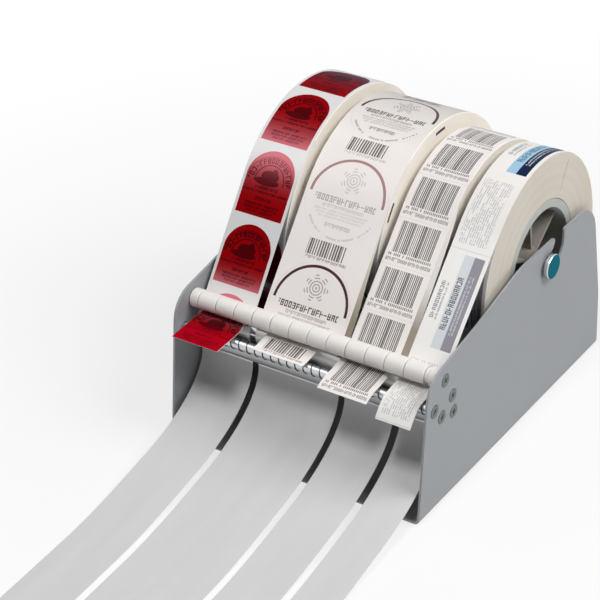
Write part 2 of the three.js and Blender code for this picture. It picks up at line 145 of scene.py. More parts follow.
lamps_aim_at = Vector((0, 0, 0.08))
for name, place, size, power in (("right_lamp", (1.1, 0.2, 1.4), 1.0, 24),
                                 ("front_lamp", (0.1, -0.7, 1.6), 0.4, 12),
                                 ("left_lamp", (-1.0, -0.3, 1.3), 1.0, 4)):
    lamp = bpy.data.lights.new(name, "AREA")
    lamp.size = size
    lamp.energy = power
    light = bpy.data.objects.new(name, lamp)
    bpy.context.collection.objects.link(light)
    light.location = place
    light.rotation_euler = (lamps_aim_at - Vector(place)).to_track_quat("-Z", "Y").to_euler()
bpy.context.scene.view_settings.view_transform = "Standard"


# Housing
# One folded sheet of steel, painted grey: a base with a side plate bent up at each side.
# The paint is smooth with a faint texture, and the cut edges catch the light.
def node_of(tree, kind, **values):
    node = tree.nodes.new(kind)
    for name, value in values.items():
        if hasattr(node, name):
            setattr(node, name, value)
        else:
            node.inputs[name.replace("_", " ")].default_value = value
    return node


def maths(tree, operation, *terms):
    node = tree.nodes.new("ShaderNodeMath")
    node.operation = operation
    for slot, term in zip(node.inputs, terms):
        if isinstance(term, (int, float)):
            slot.default_value = term
        else:
            tree.links.new(term, slot)
    return node.outputs[0]


def blended(tree, mask, first, second):
    node = tree.nodes.new("ShaderNodeMix")
    node.data_type = "RGBA"
    for slot, term in ((node.inputs[0], mask), (node.inputs[6], first), (node.inputs[7], second)):
        if isinstance(term, (int, float)):
            slot.default_value = term
        elif isinstance(term, tuple):
            slot.default_value = (*term, 1)
        else:
            tree.links.new(term, slot)
    return node.outputs[2]


def object_noise(tree, scale, detail=3.0, stretch=(1, 1, 1)):
    place = tree.nodes.new("ShaderNodeTexCoord").outputs["Object"]
    mapping = node_of(tree, "ShaderNodeMapping")
    mapping.inputs["Scale"].default_value = stretch
    tree.links.new(place, mapping.inputs["Vector"])
    noise = node_of(tree, "ShaderNodeTexNoise", Scale=scale, Detail=detail)
    tree.links.new(mapping.outputs[0], noise.inputs["Vector"])
    return noise.outputs["Fac"]


def surface_grain(name):
    """Node group: two sizes of noise, for a slight change of shade and a bump height."""
    group = bpy.data.node_groups.new(name, "ShaderNodeTree")
    for label, value in (("Coarse", 40.0), ("Fine", 900.0)):
        group.interface.new_socket(label, in_out="INPUT",
                                   socket_type="NodeSocketFloat").default_value = value
    for label in ("Shade", "Height"):
        group.interface.new_socket(label, in_out="OUTPUT", socket_type="NodeSocketFloat")
    entry = group.nodes.new("NodeGroupInput")
    leave = group.nodes.new("NodeGroupOutput")
    place = group.nodes.new("ShaderNodeTexCoord").outputs["Object"]
    for socket, out, detail in (("Coarse", "Shade", 4), ("Fine", "Height", 2)):
        noise = node_of(group, "ShaderNodeTexNoise", Detail=detail)
        group.links.new(place, noise.inputs["Vector"])
        group.links.new(entry.outputs[socket], noise.inputs["Scale"])
        group.links.new(noise.outputs["Fac"], leave.inputs[out])
    return group


grain = surface_grain("surface_grain")


def grained(name, dark, light, roughness, bump=0.1, coarse=40.0, fine=900.0):
    """A plain finish whose colour, roughness and height vary a little over the surface."""
    rough_spread, relief_depth = 0.08, 0.0002
    material, tree, shader = new_material(name, roughness)
    node = tree.nodes.new("ShaderNodeGroup")
    node.node_tree = grain
    node.inputs["Coarse"].default_value = coarse
    node.inputs["Fine"].default_value = fine
    tree.links.new(blended(tree, node.outputs["Shade"], dark, light), shader.inputs["Base Color"])
    rough = maths(tree, "MULTIPLY_ADD", node.outputs["Shade"], rough_spread,
                  roughness - rough_spread / 2)
    tree.links.new(rough, shader.inputs["Roughness"])
    relief = node_of(tree, "ShaderNodeBump", Strength=bump, Distance=relief_depth)
    tree.links.new(node.outputs["Height"], relief.inputs["Height"])
    tree.links.new(relief.outputs[0], shader.inputs["Normal"])
    return material


def dressed(node, body, material, edge, segments):
    """A copy of a solid with merged facets and softened edges, shown in its place."""
    merge_reach, flat_angle, sharp_angle = 0.000004, math.radians(0.6), math.radians(32)
    form = bmesh.new()
    form.from_mesh(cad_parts[node].data)
    bmesh.ops.remove_doubles(form, verts=form.verts, dist=merge_reach)
    bmesh.ops.dissolve_limit(form, angle_limit=flat_angle, verts=form.verts, edges=form.edges)
    sharp = [e for e in form.edges if e.is_manifold and e.calc_face_angle() > sharp_angle]
    bmesh.ops.bevel(form, geom=sharp, offset=edge, offset_type="OFFSET", segments=segments,
                    profile=0.5, affect="EDGES", material=-1, clamp_overlap=True)
    for face in form.faces:
        face.smooth = True
    mesh = bpy.data.meshes.new(node + "_look")
    form.to_mesh(mesh)
    form.free()
    piece = bpy.data.objects.new(node + "_look", mesh)
    bpy.context.collection.objects.link(piece)
    piece.data.materials.append(material)
    weighted = piece.modifiers.new("shading", "WEIGHTED_NORMAL")
    weighted.weight = 80
    weighted.keep_sharp = True
    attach(piece, body)
    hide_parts(node)


paint = grained("housing_paint", (0.278, 0.291, 0.308), (0.312, 0.325, 0.34), 0.48, bump=0.12,
                coarse=9, fine=1400)
dressed("housing", "machine", paint, 0.00035, 2)


# Rods and screws
# Turned steel rods that tie the plates together, each held by a countersunk screw at both
# ends. The peel rod and the spring's rod are bright plated, the others plain.
def brushed(name, dark, light, roughness):
    """Turned metal with fine lines round its axis."""
    rough_spread = 0.12
    material, tree, shader = new_material(name, roughness, 1.0)
    lines = object_noise(tree, 60, 4, (1, 30, 30))
    tree.links.new(blended(tree, lines, dark, light), shader.inputs["Base Color"])
    tree.links.new(maths(tree, "MULTIPLY_ADD", lines, rough_spread, roughness - rough_spread / 2),
                   shader.inputs["Roughness"])
    return material


rod_edge = 0.0002
chrome = brushed("bright_chrome", (0.46, 0.475, 0.485), (0.66, 0.675, 0.68), 0.13)
plain_steel = brushed("plain_steel", (0.26, 0.27, 0.28), (0.38, 0.39, 0.4), 0.36)
for node in ("peel_rod", "spring_rod"):
    dressed(node, "machine", chrome, rod_edge, 2)
for node in ("hold_down_rod", "guide_rod_front", "guide_rod_rear"):
    dressed(node, "machine", plain_steel, rod_edge, 2)
screw_steel = brushed("screw_steel", (0.10, 0.125, 0.12), (0.2, 0.23, 0.22), 0.34)
for number in range(1, 6):
    for side in ("left", "right"):
        dressed(f"screw_{number}_{side}", "machine", screw_steel, 0.0001, 1)


# Hold-down bar
# Moulded rollers of off-white plastic that turn on the top rod and keep the labels down.
# A spacer at each end closes the bar.
roller_plastic = grained("roller_plastic", (0.72, 0.69, 0.655), (0.79, 0.765, 0.735), 0.42,
                         bump=0.08, coarse=60, fine=1500)
roller_edge = 0.0003
for number in range(1, 13):
    dressed(f"roller_{number}", f"roller_body_{number}", roller_plastic, roller_edge, 2)
for node in ("end_spacer_left", "end_spacer_right"):
    dressed(node, "machine", roller_plastic, roller_edge, 2)


# Wire spring
# A thin steel wire wound over the front rod, one turn every 6.4 mm. The peeled labels lie on
# it without sticking.
spring_low, spring_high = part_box("wire_spring")
rod_low, rod_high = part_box("spring_rod")
spring_turns, coil_steps = 30, 24
wire, wire_play = 0.00027, 0.0001
coil = (rod_high[2] - rod_low[2]) / 2 + wire + wire_play
coil_centre = Vector((0, (spring_low[1] + spring_high[1]) / 2,
                      (spring_low[2] + spring_high[2]) / 2))
spring_form = bmesh.new()
bmesh.ops.create_circle(spring_form, segments=8, radius=wire, cap_ends=True)
spring_start = spring_low[0] + wire
spring_length = spring_high[0] - spring_low[0] - 2 * wire
bmesh.ops.rotate(spring_form, verts=spring_form.verts, matrix=Matrix.Rotation(math.pi / 2, 3, "X"))
bmesh.ops.translate(spring_form, verts=spring_form.verts,
                    vec=coil_centre + Vector((spring_start, 0, coil)))
steps = spring_turns * coil_steps
bmesh.ops.spin(spring_form, geom=spring_form.faces[:] + spring_form.edges[:] + spring_form.verts[:],
               cent=coil_centre, axis=(1, 0, 0), dvec=(spring_length / steps, 0, 0),
               angle=2 * math.pi * spring_turns, steps=steps, use_merge=False)
bmesh.ops.remove_doubles(spring_form, verts=spring_form.verts, dist=0.000001)
bmesh.ops.recalc_face_normals(spring_form, faces=spring_form.faces)
for face in spring_form.faces:
    face.smooth = True
spring_mesh = bpy.data.meshes.new("wire_spring_look")
spring_form.to_mesh(spring_mesh)
spring_form.free()
spring = bpy.data.objects.new("wire_spring_look", spring_mesh)
bpy.context.collection.objects.link(spring)
spring.data.materials.append(brushed("spring_wire", (0.05, 0.055, 0.06), (0.13, 0.14, 0.15), 0.26))
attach(spring, "machine")
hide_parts("wire_spring")


# Shaft
# The turned bar that carries the rolls, with a polished head outside each plate. The flat of
# the head is tinted blue-green and the rim is bare metal.
head_face = 0.10385
shaft_look, shaft_tree, shaft_shader = new_material("shaft_metal", 0.22, 1.0)
shaft_place = shaft_tree.nodes.new("ShaderNodeTexCoord").outputs["Object"]
shaft_axes = shaft_tree.nodes.new("ShaderNodeSeparateXYZ")
shaft_tree.links.new(shaft_place, shaft_axes.inputs[0])
outside = maths(shaft_tree, "GREATER_THAN",
                maths(shaft_tree, "ABSOLUTE", shaft_axes.outputs[0]), head_face)
smear = object_noise(shaft_tree, 90)
metal = blended(shaft_tree, smear, (0.6, 0.61, 0.63), (0.75, 0.76, 0.78))
tint = blended(shaft_tree, smear, (0.012, 0.09, 0.12), (0.03, 0.16, 0.2))
shaft_tree.links.new(blended(shaft_tree, outside, metal, tint), shaft_shader.inputs["Base Color"])
shaft_tree.links.new(maths(shaft_tree, "MULTIPLY_ADD", smear, 0.1, 0.2),
                     shaft_shader.inputs["Roughness"])
shaft_shader.inputs["Specular Tint"].default_value = (0.45, 0.7, 0.78, 1)
dressed("shaft", "shaft_body", shaft_look, 0.0003, 2)


# Cores and their holders
# Wound board tubes, pale blue-grey on the cut end, and moulded holders whose vanes grip the
# inside of a tube and whose hub turns on the shaft.
core_board = grained("core_board", (0.38, 0.40, 0.385), (0.5, 0.51, 0.49), 0.85, bump=0.4,
                     coarse=120, fine=1800)
holder_plastic = grained("holder_plastic", (0.3, 0.27, 0.235), (0.4, 0.365, 0.32), 0.5,
                         bump=0.1, coarse=50)
for number in range(1, 5):
    dressed(f"core_{number}", f"roll_{number}", core_board, 0.0003, 2)
    dressed(f"core_holder_{number}", f"roll_{number}", holder_plastic, 0.0002, 2)


# Rolls of labels
# Paper labels on a liner, wound tight round a board core; the outer turn shows the labels and
# the sides show the cut layers. Each roll carries its own label with a generic print.
shaft_low, shaft_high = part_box("shaft")
axis_back = (shaft_low[1] + shaft_high[1]) / 2
axis_height = (shaft_low[2] + shaft_high[2]) / 2


def between(tree, value, low, high):
    offset = maths(tree, "ABSOLUTE", maths(tree, "SUBTRACT", value, (low + high) / 2))
    return maths(tree, "LESS_THAN", offset, (high - low) / 2)


def all_of(tree, first, *others):
    for other in others:
        first = maths(tree, "MULTIPLY", first, other)
    return first


def any_of(tree, first, *others):
    for other in others:
        first = maths(tree, "MAXIMUM", first, other)
    return first


def distance(tree, across, along, centre=0.0, height=0.0, wide=1.0, tall=1.0):
    """Distance from a point of the label, in ellipses wide and tall units across."""
    x = maths(tree, "DIVIDE", maths(tree, "SUBTRACT", across, centre), wide)
    y = maths(tree, "DIVIDE", maths(tree, "SUBTRACT", along, height), tall)
    return maths(tree, "SQRT", maths(tree, "MULTIPLY_ADD", x, x, maths(tree, "MULTIPLY", y, y)))


def dice(tree, value, size, seed):
    """A random number that stays the same over each step of the given size."""
    step = maths(tree, "ADD", maths(tree, "FLOOR", maths(tree, "DIVIDE", value, size)), seed)
    noise = node_of(tree, "ShaderNodeTexWhiteNoise", noise_dimensions="1D")
    tree.links.new(step, noise.inputs["W"])
    return noise.outputs["Value"]


def bars(tree, across, size, seed, palest):
    """Upright bars of mixed width and strength, one to each step."""
    width = maths(tree, "MULTIPLY_ADD", dice(tree, across, size, seed), 0.6, 0.32)
    strength = maths(tree, "MULTIPLY_ADD", dice(tree, across, size, seed + 200), 1 - palest, palest)
    return all_of(tree, maths(tree, "LESS_THAN", maths(tree, "FRACT", maths(
        tree, "DIVIDE", across, size)), width), strength)


def strokes(tree, across, size, seed, filled):
    """Broken short strokes in a row, as print too small to read."""
    shape = maths(tree, "GREATER_THAN", dice(tree, across, size, seed), 0.16)
    gap = maths(tree, "LESS_THAN", maths(tree, "FRACT", maths(tree, "DIVIDE", across, size)),
                filled)
    word = maths(tree, "GREATER_THAN", dice(tree, across, size * 6.2, seed + 9), 0.12)
    return all_of(tree, shape, gap, word)


def stroke_letters():
    """Node group: a row of made-up letters, each of a few random stems and bars."""
    tree = bpy.data.node_groups.new("stroke_letters", "ShaderNodeTree")
    for label in ("Across", "Rise", "Cell", "Seed"):
        tree.interface.new_socket(label, in_out="INPUT", socket_type="NodeSocketFloat")
    tree.interface.new_socket("Mask", in_out="OUTPUT", socket_type="NodeSocketFloat")
    across, rise, cell, seed = tree.nodes.new("NodeGroupInput").outputs[:4]
    place = maths(tree, "DIVIDE", across, cell)
    share = maths(tree, "FRACT", place)
    noise = node_of(tree, "ShaderNodeTexWhiteNoise", noise_dimensions="1D")
    tree.links.new(maths(tree, "ADD", maths(tree, "FLOOR", place), seed), noise.inputs["W"])
    chance = tree.nodes.new("ShaderNodeSeparateColor")
    tree.links.new(noise.outputs["Color"], chance.inputs[0])
    red, green, blue = chance.outputs[:3]
    stems = any_of(tree,
                   all_of(tree, between(tree, share, 0.04, 0.30),
                          maths(tree, "GREATER_THAN", red, 0.12)),
                   all_of(tree, between(tree, share, 0.56, 0.82),
                          maths(tree, "GREATER_THAN", green, 0.4)))
    rungs = any_of(tree,
                   all_of(tree, maths(tree, "GREATER_THAN", rise, 0.78),
                          maths(tree, "GREATER_THAN", blue, 0.35)),
                   all_of(tree, between(tree, rise, 0.42, 0.6),
                          maths(tree, "LESS_THAN", blue, 0.65)),
                   all_of(tree, maths(tree, "LESS_THAN", rise, 0.2),
                          maths(tree, "GREATER_THAN", green, 0.5)))
    rungs = all_of(tree, rungs, between(tree, share, 0.04, 0.82))
    word = maths(tree, "GREATER_THAN", dice(tree, place, 6.3, 0.5), 0.1)
    leave = tree.nodes.new("NodeGroupOutput")
    tree.links.new(all_of(tree, any_of(tree, stems, rungs), word), leave.inputs[0])
    return tree


letter_row = stroke_letters()


def letters(tree, across, along, low, high, half, cell, seed):
    """A row of made-up letters between two heights and half a width to each side."""
    node = tree.nodes.new("ShaderNodeGroup")
    node.node_tree = letter_row
    tree.links.new(across, node.inputs["Across"])
    tree.links.new(maths(tree, "DIVIDE", maths(tree, "SUBTRACT", along, low), high - low),
                   node.inputs["Rise"])
    node.inputs["Cell"].default_value = cell
    node.inputs["Seed"].default_value = seed
    return all_of(tree, node.outputs[0], between(tree, along, low, high),
                  between(tree, across, -half, half))


def printed(name, offset, pitch, foot, squeeze=0.0):
    """Starts a node group for one label: its inputs in millimetres from the label's own place.
    The labels come a little closer together towards the bar, as far as squeeze says."""
    squeezed_from = 45
    tree = bpy.data.node_groups.new(name, "ShaderNodeTree")
    tree.interface.new_socket("Place", in_out="INPUT", socket_type="NodeSocketVector")
    tree.interface.new_socket("Color", in_out="OUTPUT", socket_type="NodeSocketColor")
    tree.interface.new_socket("Label", in_out="OUTPUT", socket_type="NodeSocketFloat")
    entry = tree.nodes.new("NodeGroupInput")
    axes = tree.nodes.new("ShaderNodeSeparateXYZ")
    tree.links.new(entry.outputs[0], axes.inputs[0])
    across = maths(tree, "MULTIPLY", axes.outputs[0], 1000)
    run = maths(tree, "MULTIPLY", axes.outputs[1], 1000)
    eased = maths(tree, "MULTIPLY_ADD", maths(
        tree, "MINIMUM", maths(tree, "ADD", run, squeezed_from), 0), squeeze, run)
    shifted = maths(tree, "SUBTRACT", eased, offset - foot)
    along = maths(tree, "SUBTRACT", maths(tree, "FLOORED_MODULO", shifted, pitch), foot)
    return tree, across, along, run


def shaded(tree, run, start, end, first, second):
    """A colour that turns into another between two places along a web."""
    share = node_of(tree, "ShaderNodeMapRange", From_Min=float(start), From_Max=float(end))
    tree.links.new(run, share.inputs["Value"])
    return blended(tree, share.outputs[0], first, second)


def bare_edge(tree, color, u, run, half, above, below, light, dark):
    """Bare liner past the print's edge, with painted shade: darker where it bends down towards the
    bar.
    """
    shade = shaded(tree, run, above, below, light, dark)
    return blended(tree, maths(tree, "GREATER_THAN", u, half), color, shade)


def finish_print(tree, color, label):
    leave = tree.nodes.new("NodeGroupOutput")
    tree.links.new(color, leave.inputs[0])
    tree.links.new(label, leave.inputs[1])
    return tree


def gloss_band(tree, run, centre, width):
    """A soft band of light across a web, strongest at one place along its run."""
    offset = maths(tree, "DIVIDE", maths(tree, "SUBTRACT", run, centre), width)
    square = maths(tree, "MULTIPLY", offset, offset)
    return maths(tree, "EXPONENT", maths(tree, "MULTIPLY", square, -1))


def arched_red_label():
    """Red foil with an arched top and dark print. Painted sheen: a light band where the foil
    shines, which also lightens the bare web and pales the print, and darker purple foil over the
    top of the roll. The peeled label's foil and print are painted lighter, as painted light.
    """
    foil_red, foil_top_sheen = (0.25, 0.001, 0.003), (0.07, 0.005, 0.02)
    foil_shine, foil_peeled_lit = (0.70, 0.20, 0.24), (0.36, 0.001, 0.009)
    ink_dark, ink_peeled_lit = (0.012, 0.001, 0.003), (0.10, 0.001, 0.005)
    web, web_shine = (0.66, 0.65, 0.655), (0.80, 0.785, 0.78)
    half_width, dome_start, top, bottom = 18.7, 29.2, 48, 1.6
    tree, u, v, run = printed("arched_red_label", 22.2, 52.3, 0, 0.085)
    dome = maths(tree, "MAXIMUM", maths(tree, "SUBTRACT", v, dome_start), 0.0)
    label = all_of(tree, maths(tree, "LESS_THAN", distance(tree, u, dome), half_width),
                   between(tree, v, bottom, top))
    reach = distance(tree, u, v, 0, 26)
    turn = maths(tree, "MULTIPLY", maths(tree, "ARCTAN2", u, maths(tree, "SUBTRACT", v, 26)), 15)
    above = maths(tree, "GREATER_THAN", v, 25)
    arch = all_of(tree, letters(tree, turn, reach, 12.9, 17.0, 24, 3.1, 3), above)
    lines = all_of(tree, any_of(tree, between(tree, reach, 11.2, 11.9),
                                between(tree, reach, 17.5, 17.9)), above)
    hatch = maths(tree, "LESS_THAN", maths(tree, "FRACT", maths(tree, "DIVIDE", maths(
        tree, "ADD", u, maths(tree, "MULTIPLY", v, 1.7)), 1.7)), 0.82)
    ovals = any_of(tree, *[maths(tree, "LESS_THAN", distance(tree, u, v, x, y, wide, tall), 1)
                           for x, y, wide, tall in ((0, 30.0, 7.0, 3.8), (-1.5, 25.8, 9.8, 2.9),
                                                    (3, 33, 2.2, 2.6))])
    rows = [letters(tree, u, v, low, high, half, size, seed)
            for low, high, half, size, seed in (
                (17.4, 19.0, 18.4, 1.3, 5), (12.4, 14.6, 6.6, 1.7, 7), (8.6, 10.3, 14, 1.2, 11),
                (6.2, 7.9, 13, 1.2, 12), (3.8, 5.5, 11, 1.2, 13), (20.2, 22.4, 9, 1.5, 17))]
    # Painted sheen: two soft bands along the web where the foil and the bare web look lit and the
    # print pales.
    painted_sheen = any_of(tree, gloss_band(tree, run, 16.5, 15), gloss_band(tree, run, -84, 10))
    ink = all_of(tree, any_of(tree, arch, lines, all_of(tree, ovals, hatch), *rows),
                 maths(tree, "MULTIPLY_ADD", painted_sheen, -0.5, 0.94))
    # Painted sheen: over the top of the roll the foil turns darker and purple.
    foil = shaded(tree, run, 74, 118, foil_red, foil_top_sheen)
    # Painted light: past run -100, on the peeled label, the foil and the print are lighter.
    foil = shaded(tree, run, -100, -112, blended(tree, painted_sheen, foil, foil_shine), foil_peeled_lit)
    red = blended(tree, ink, foil, shaded(tree, run, -100, -112, ink_dark, ink_peeled_lit))
    bare = blended(tree, painted_sheen, web, web_shine)
    return finish_print(tree, blended(tree, label, bare, red), label)


def round_brown_label():
    """A round label with a brown arch, a ring motif, rows of made-up letters and a barcode."""
    paper_low, paper_mid, paper_shaded_top = (0.82, 0.775, 0.755), (0.77, 0.73, 0.70), (0.50, 0.475, 0.46)
    ink_brown, code_brown = (0.05, 0.025, 0.023), (0.045, 0.014, 0.014)
    arch_brown, arch_pale = (0.05, 0.012, 0.012), (0.36, 0.2, 0.2)
    edge_light, edge_shade = (0.70, 0.65, 0.55), (0.25, 0.21, 0.15)
    label_radius, pale_from, pale_to = 30.6, -45, 30
    tree, u, v, run = printed("round_brown_label", -5, 75.3, 46)
    # Between run -45 and 30 the arch is paler and the other print, save the barcode, weaker.
    pale_stretch = between(tree, run, pale_from, pale_to)
    reach = distance(tree, u, v)
    turn = maths(tree, "MULTIPLY", maths(tree, "ARCTAN2", v, u), 28)
    arch = all_of(tree, between(tree, reach, 26.9, 28.9), maths(tree, "GREATER_THAN", v, 0.4))
    ring = all_of(tree, between(tree, reach, 26.9, 28.4), between(tree, turn, -72, -14),
                  strokes(tree, turn, 1.0, 4, 0.74), 0.6)
    edge = all_of(tree, between(tree, reach, 30.4, 30.9), maths(tree, "GREATER_THAN", v, -24), 0.12)
    print_weight = maths(tree, "MULTIPLY_ADD", pale_stretch, -0.42, 0.93)
    title = letters(tree, u, v, -4.2, 0.2, 23.5, 3.1, 8)
    small = [all_of(tree, letters(tree, u, v, low, low + tall, half, size, seed), weight)
             for low, tall, half, size, weight, seed in (
                 (-7.8, 2.4, 16, 1.7, 0.6, 26), (-10.4, 1.5, 21, 1.2, 0.5, 21),
                 (-12.6, 1.5, 19, 1.2, 0.5, 22), (-14.8, 1.5, 17, 1.2, 0.45, 23),
                 (-20.6, 2.8, 10, 1.9, 0.85, 24), (-43.8, 1.9, 16, 2.2, 0.75, 25))]
    code = all_of(tree, between(tree, v, -41.2, -30.3), between(tree, u, -16.4, 13.2),
                  bars(tree, u, 1.9, 33, 0.85), 0.93)
    bloom = distance(tree, u, v, 0.5, 13.5)
    petals = maths(tree, "MULTIPLY", maths(tree, "COSINE", maths(
        tree, "MULTIPLY", maths(tree, "ARCTAN2", maths(tree, "SUBTRACT", v, 13.5),
                                maths(tree, "SUBTRACT", u, 0.5)), 7)), 2.2)
    shape = maths(tree, "LESS_THAN", bloom, maths(tree, "ADD", petals, 7.8))
    rings = maths(tree, "LESS_THAN", maths(tree, "FRACT", maths(tree, "DIVIDE", bloom, 2.1)), 0.42)
    motif = all_of(tree, shape, rings, 0.6)
    ink = all_of(tree, any_of(tree, ring, edge, title, motif, *small), print_weight)
    # Painted shade: the paper darkens up the web towards the top of the roll.
    white = shaded(tree, run, 10, 30, paper_low, paper_mid)
    white = shaded(tree, run, 40, 115, white, paper_shaded_top)
    paper = blended(tree, ink, white, ink_brown)
    arch_ink = blended(tree, pale_stretch, arch_brown, arch_pale)
    color = blended(tree, code, blended(tree, arch, paper, arch_ink), code_brown)
    color = bare_edge(tree, color, u, run, 32.1, -30, -82, edge_light, edge_shade)
    return finish_print(tree, color, maths(tree, "LESS_THAN", reach, label_radius))


def barcode_label():
    """A white label with a wide barcode over a row of strokes and a row of made-up letters."""
    paper_low, paper_mid, paper_shaded_top = (0.84, 0.79, 0.765), (0.74, 0.70, 0.685), (0.64, 0.61, 0.60)
    ink_black = (0.03, 0.028, 0.03)
    edge_light, edge_shade = (0.73, 0.69, 0.66), (0.30, 0.26, 0.21)
    label_foot = -8.5
    tree, u, v, run = printed("barcode_label", -1.6, 32.6, 9)
    code = all_of(tree, between(tree, v, 0, 21.9), between(tree, u, -14.3, 14.3),
                  bars(tree, u, 1.36, 41, 0.8), 0.96)
    below_code = all_of(tree, between(tree, v, -2.6, -0.7), between(tree, u, -16.4, 15.6),
                        strokes(tree, u, 1.35, 43, 0.6), 0.75)
    row = all_of(tree, letters(tree, u, v, -6.3, -3.8, 17, 1.55, 44), 0.7)
    gap = all_of(tree, between(tree, v, -8.9, label_foot), 0.14)
    # Painted shade: the paper darkens up the web, and again towards the top of the roll.
    white = shaded(tree, run, -20, 10, paper_low, paper_mid)
    white = shaded(tree, run, 75, 105, white, paper_shaded_top)
    color = blended(tree, any_of(tree, code, below_code, row, gap), white, ink_black)
    color = bare_edge(tree, color, u, run, 18.9, -50, -80, edge_light, edge_shade)
    return finish_print(tree, color, maths(tree, "GREATER_THAN", v, label_foot))


def banded_blue_label():
    """A white label with a pale and a deep blue band, made-up headings and a block of text."""
    paper_low, paper_mid = (0.86, 0.84, 0.82), (0.76, 0.73, 0.705)
    pale_blue, pale_band_low = (0.31, 0.49, 0.64), (0.65, 0.68, 0.72)
    deep_blue, deep_band_low = (0.001, 0.010, 0.040), (0.29, 0.275, 0.315)
    ink_blue, ink_low, ink_white = (0.012, 0.07, 0.13), (0.07, 0.07, 0.085), (0.72, 0.76, 0.8)
    text_foot, paler_below = 67.4, -17
    tree, u, v, run = printed("banded_blue_label", -87, 128.5, 3)
    block = between(tree, v, 0, 64)
    # Below run -17 the bands and the print turn paler and greyer.
    lower = maths(tree, "LESS_THAN", run, paler_below)
    pale = all_of(tree, block, between(tree, u, -2.8, 4.5))
    deep = all_of(tree, block, between(tree, u, 4.5, 12.0))
    # Painted shade: the paper is darker above run 10 than near the bar.
    white = shaded(tree, run, -20, 10, paper_low, paper_mid)
    color = blended(tree, pale, white, blended(tree, lower, pale_blue, pale_band_low))
    color = blended(tree, deep, color, blended(tree, lower, deep_blue, deep_band_low))
    middle = maths(tree, "SUBTRACT", v, 31)
    heading = all_of(tree, letters(tree, middle, u, -1.6, 2.6, 18, 2.6, 51), 0.85)
    line_pair = all_of(tree, any_of(tree, letters(tree, middle, u, -11.4, -8.6, 13, 2.5, 53),
                                    letters(tree, middle, u, -7.4, -6.0, 13, 1.3, 56)), 0.7)
    lane = maths(tree, "DIVIDE", u, 1.55)
    text = all_of(tree, between(tree, v, 71, 119), between(tree, u, -12, 9.5),
                  maths(tree, "LESS_THAN", maths(tree, "FRACT", lane), 0.48),
                  strokes(tree, maths(tree, "MULTIPLY_ADD", maths(tree, "FLOOR", lane), 131, v),
                          0.8, 54, 0.8), 0.46)
    split = all_of(tree, between(tree, v, 66.5, text_foot), 0.16)
    color = blended(tree, any_of(tree, text, split, line_pair, heading), color,
                    blended(tree, lower, ink_blue, ink_low))
    light_rows = all_of(tree, any_of(tree, letters(tree, middle, u, 5.9, 7.1, 20, 1.3, 52),
                                     letters(tree, middle, u, 8.1, 9.2, 20, 1.3, 57)), 0.75)
    return finish_print(tree, blended(tree, light_rows, color, ink_white),
                        maths(tree, "GREATER_THAN", v, text_foot))


prints = [arched_red_label(), round_brown_label(), barcode_label(), banded_blue_label()]


def label_material(name, group, gloss):
    """Label face: its print, on paper with a little tooth and a light gloss."""
    material, tree, shader = new_material(name, 0.42)
    shader.inputs["Specular IOR Level"].default_value = gloss
    place = node_of(tree, "ShaderNodeUVMap", uv_map="web")
    node = tree.nodes.new("ShaderNodeGroup")
    node.node_tree = group
    tree.links.new(place.outputs[0], node.inputs[0])
    shade = object_noise(tree, 25, 3)
    toned = node_of(tree, "ShaderNodeHueSaturation")
    tree.links.new(node.outputs["Color"], toned.inputs["Color"])
    tree.links.new(maths(tree, "MULTIPLY_ADD", shade, 0.10, 0.95), toned.inputs["Value"])
    tree.links.new(toned.outputs[0], shader.inputs["Base Color"])
    tree.links.new(maths(tree, "MULTIPLY_ADD", node.outputs["Label"], -0.14, 0.5),
                   shader.inputs["Roughness"])
    relief = node_of(tree, "ShaderNodeBump", Strength=0.25, Distance=0.0001)
    tree.links.new(maths(tree, "MULTIPLY_ADD", node.outputs["Label"], 1.0,
                         maths(tree, "MULTIPLY", object_noise(tree, 1500, 2), 0.3)),
                   relief.inputs["Height"])
    tree.links.new(relief.outputs[0], shader.inputs["Normal"])
    return material


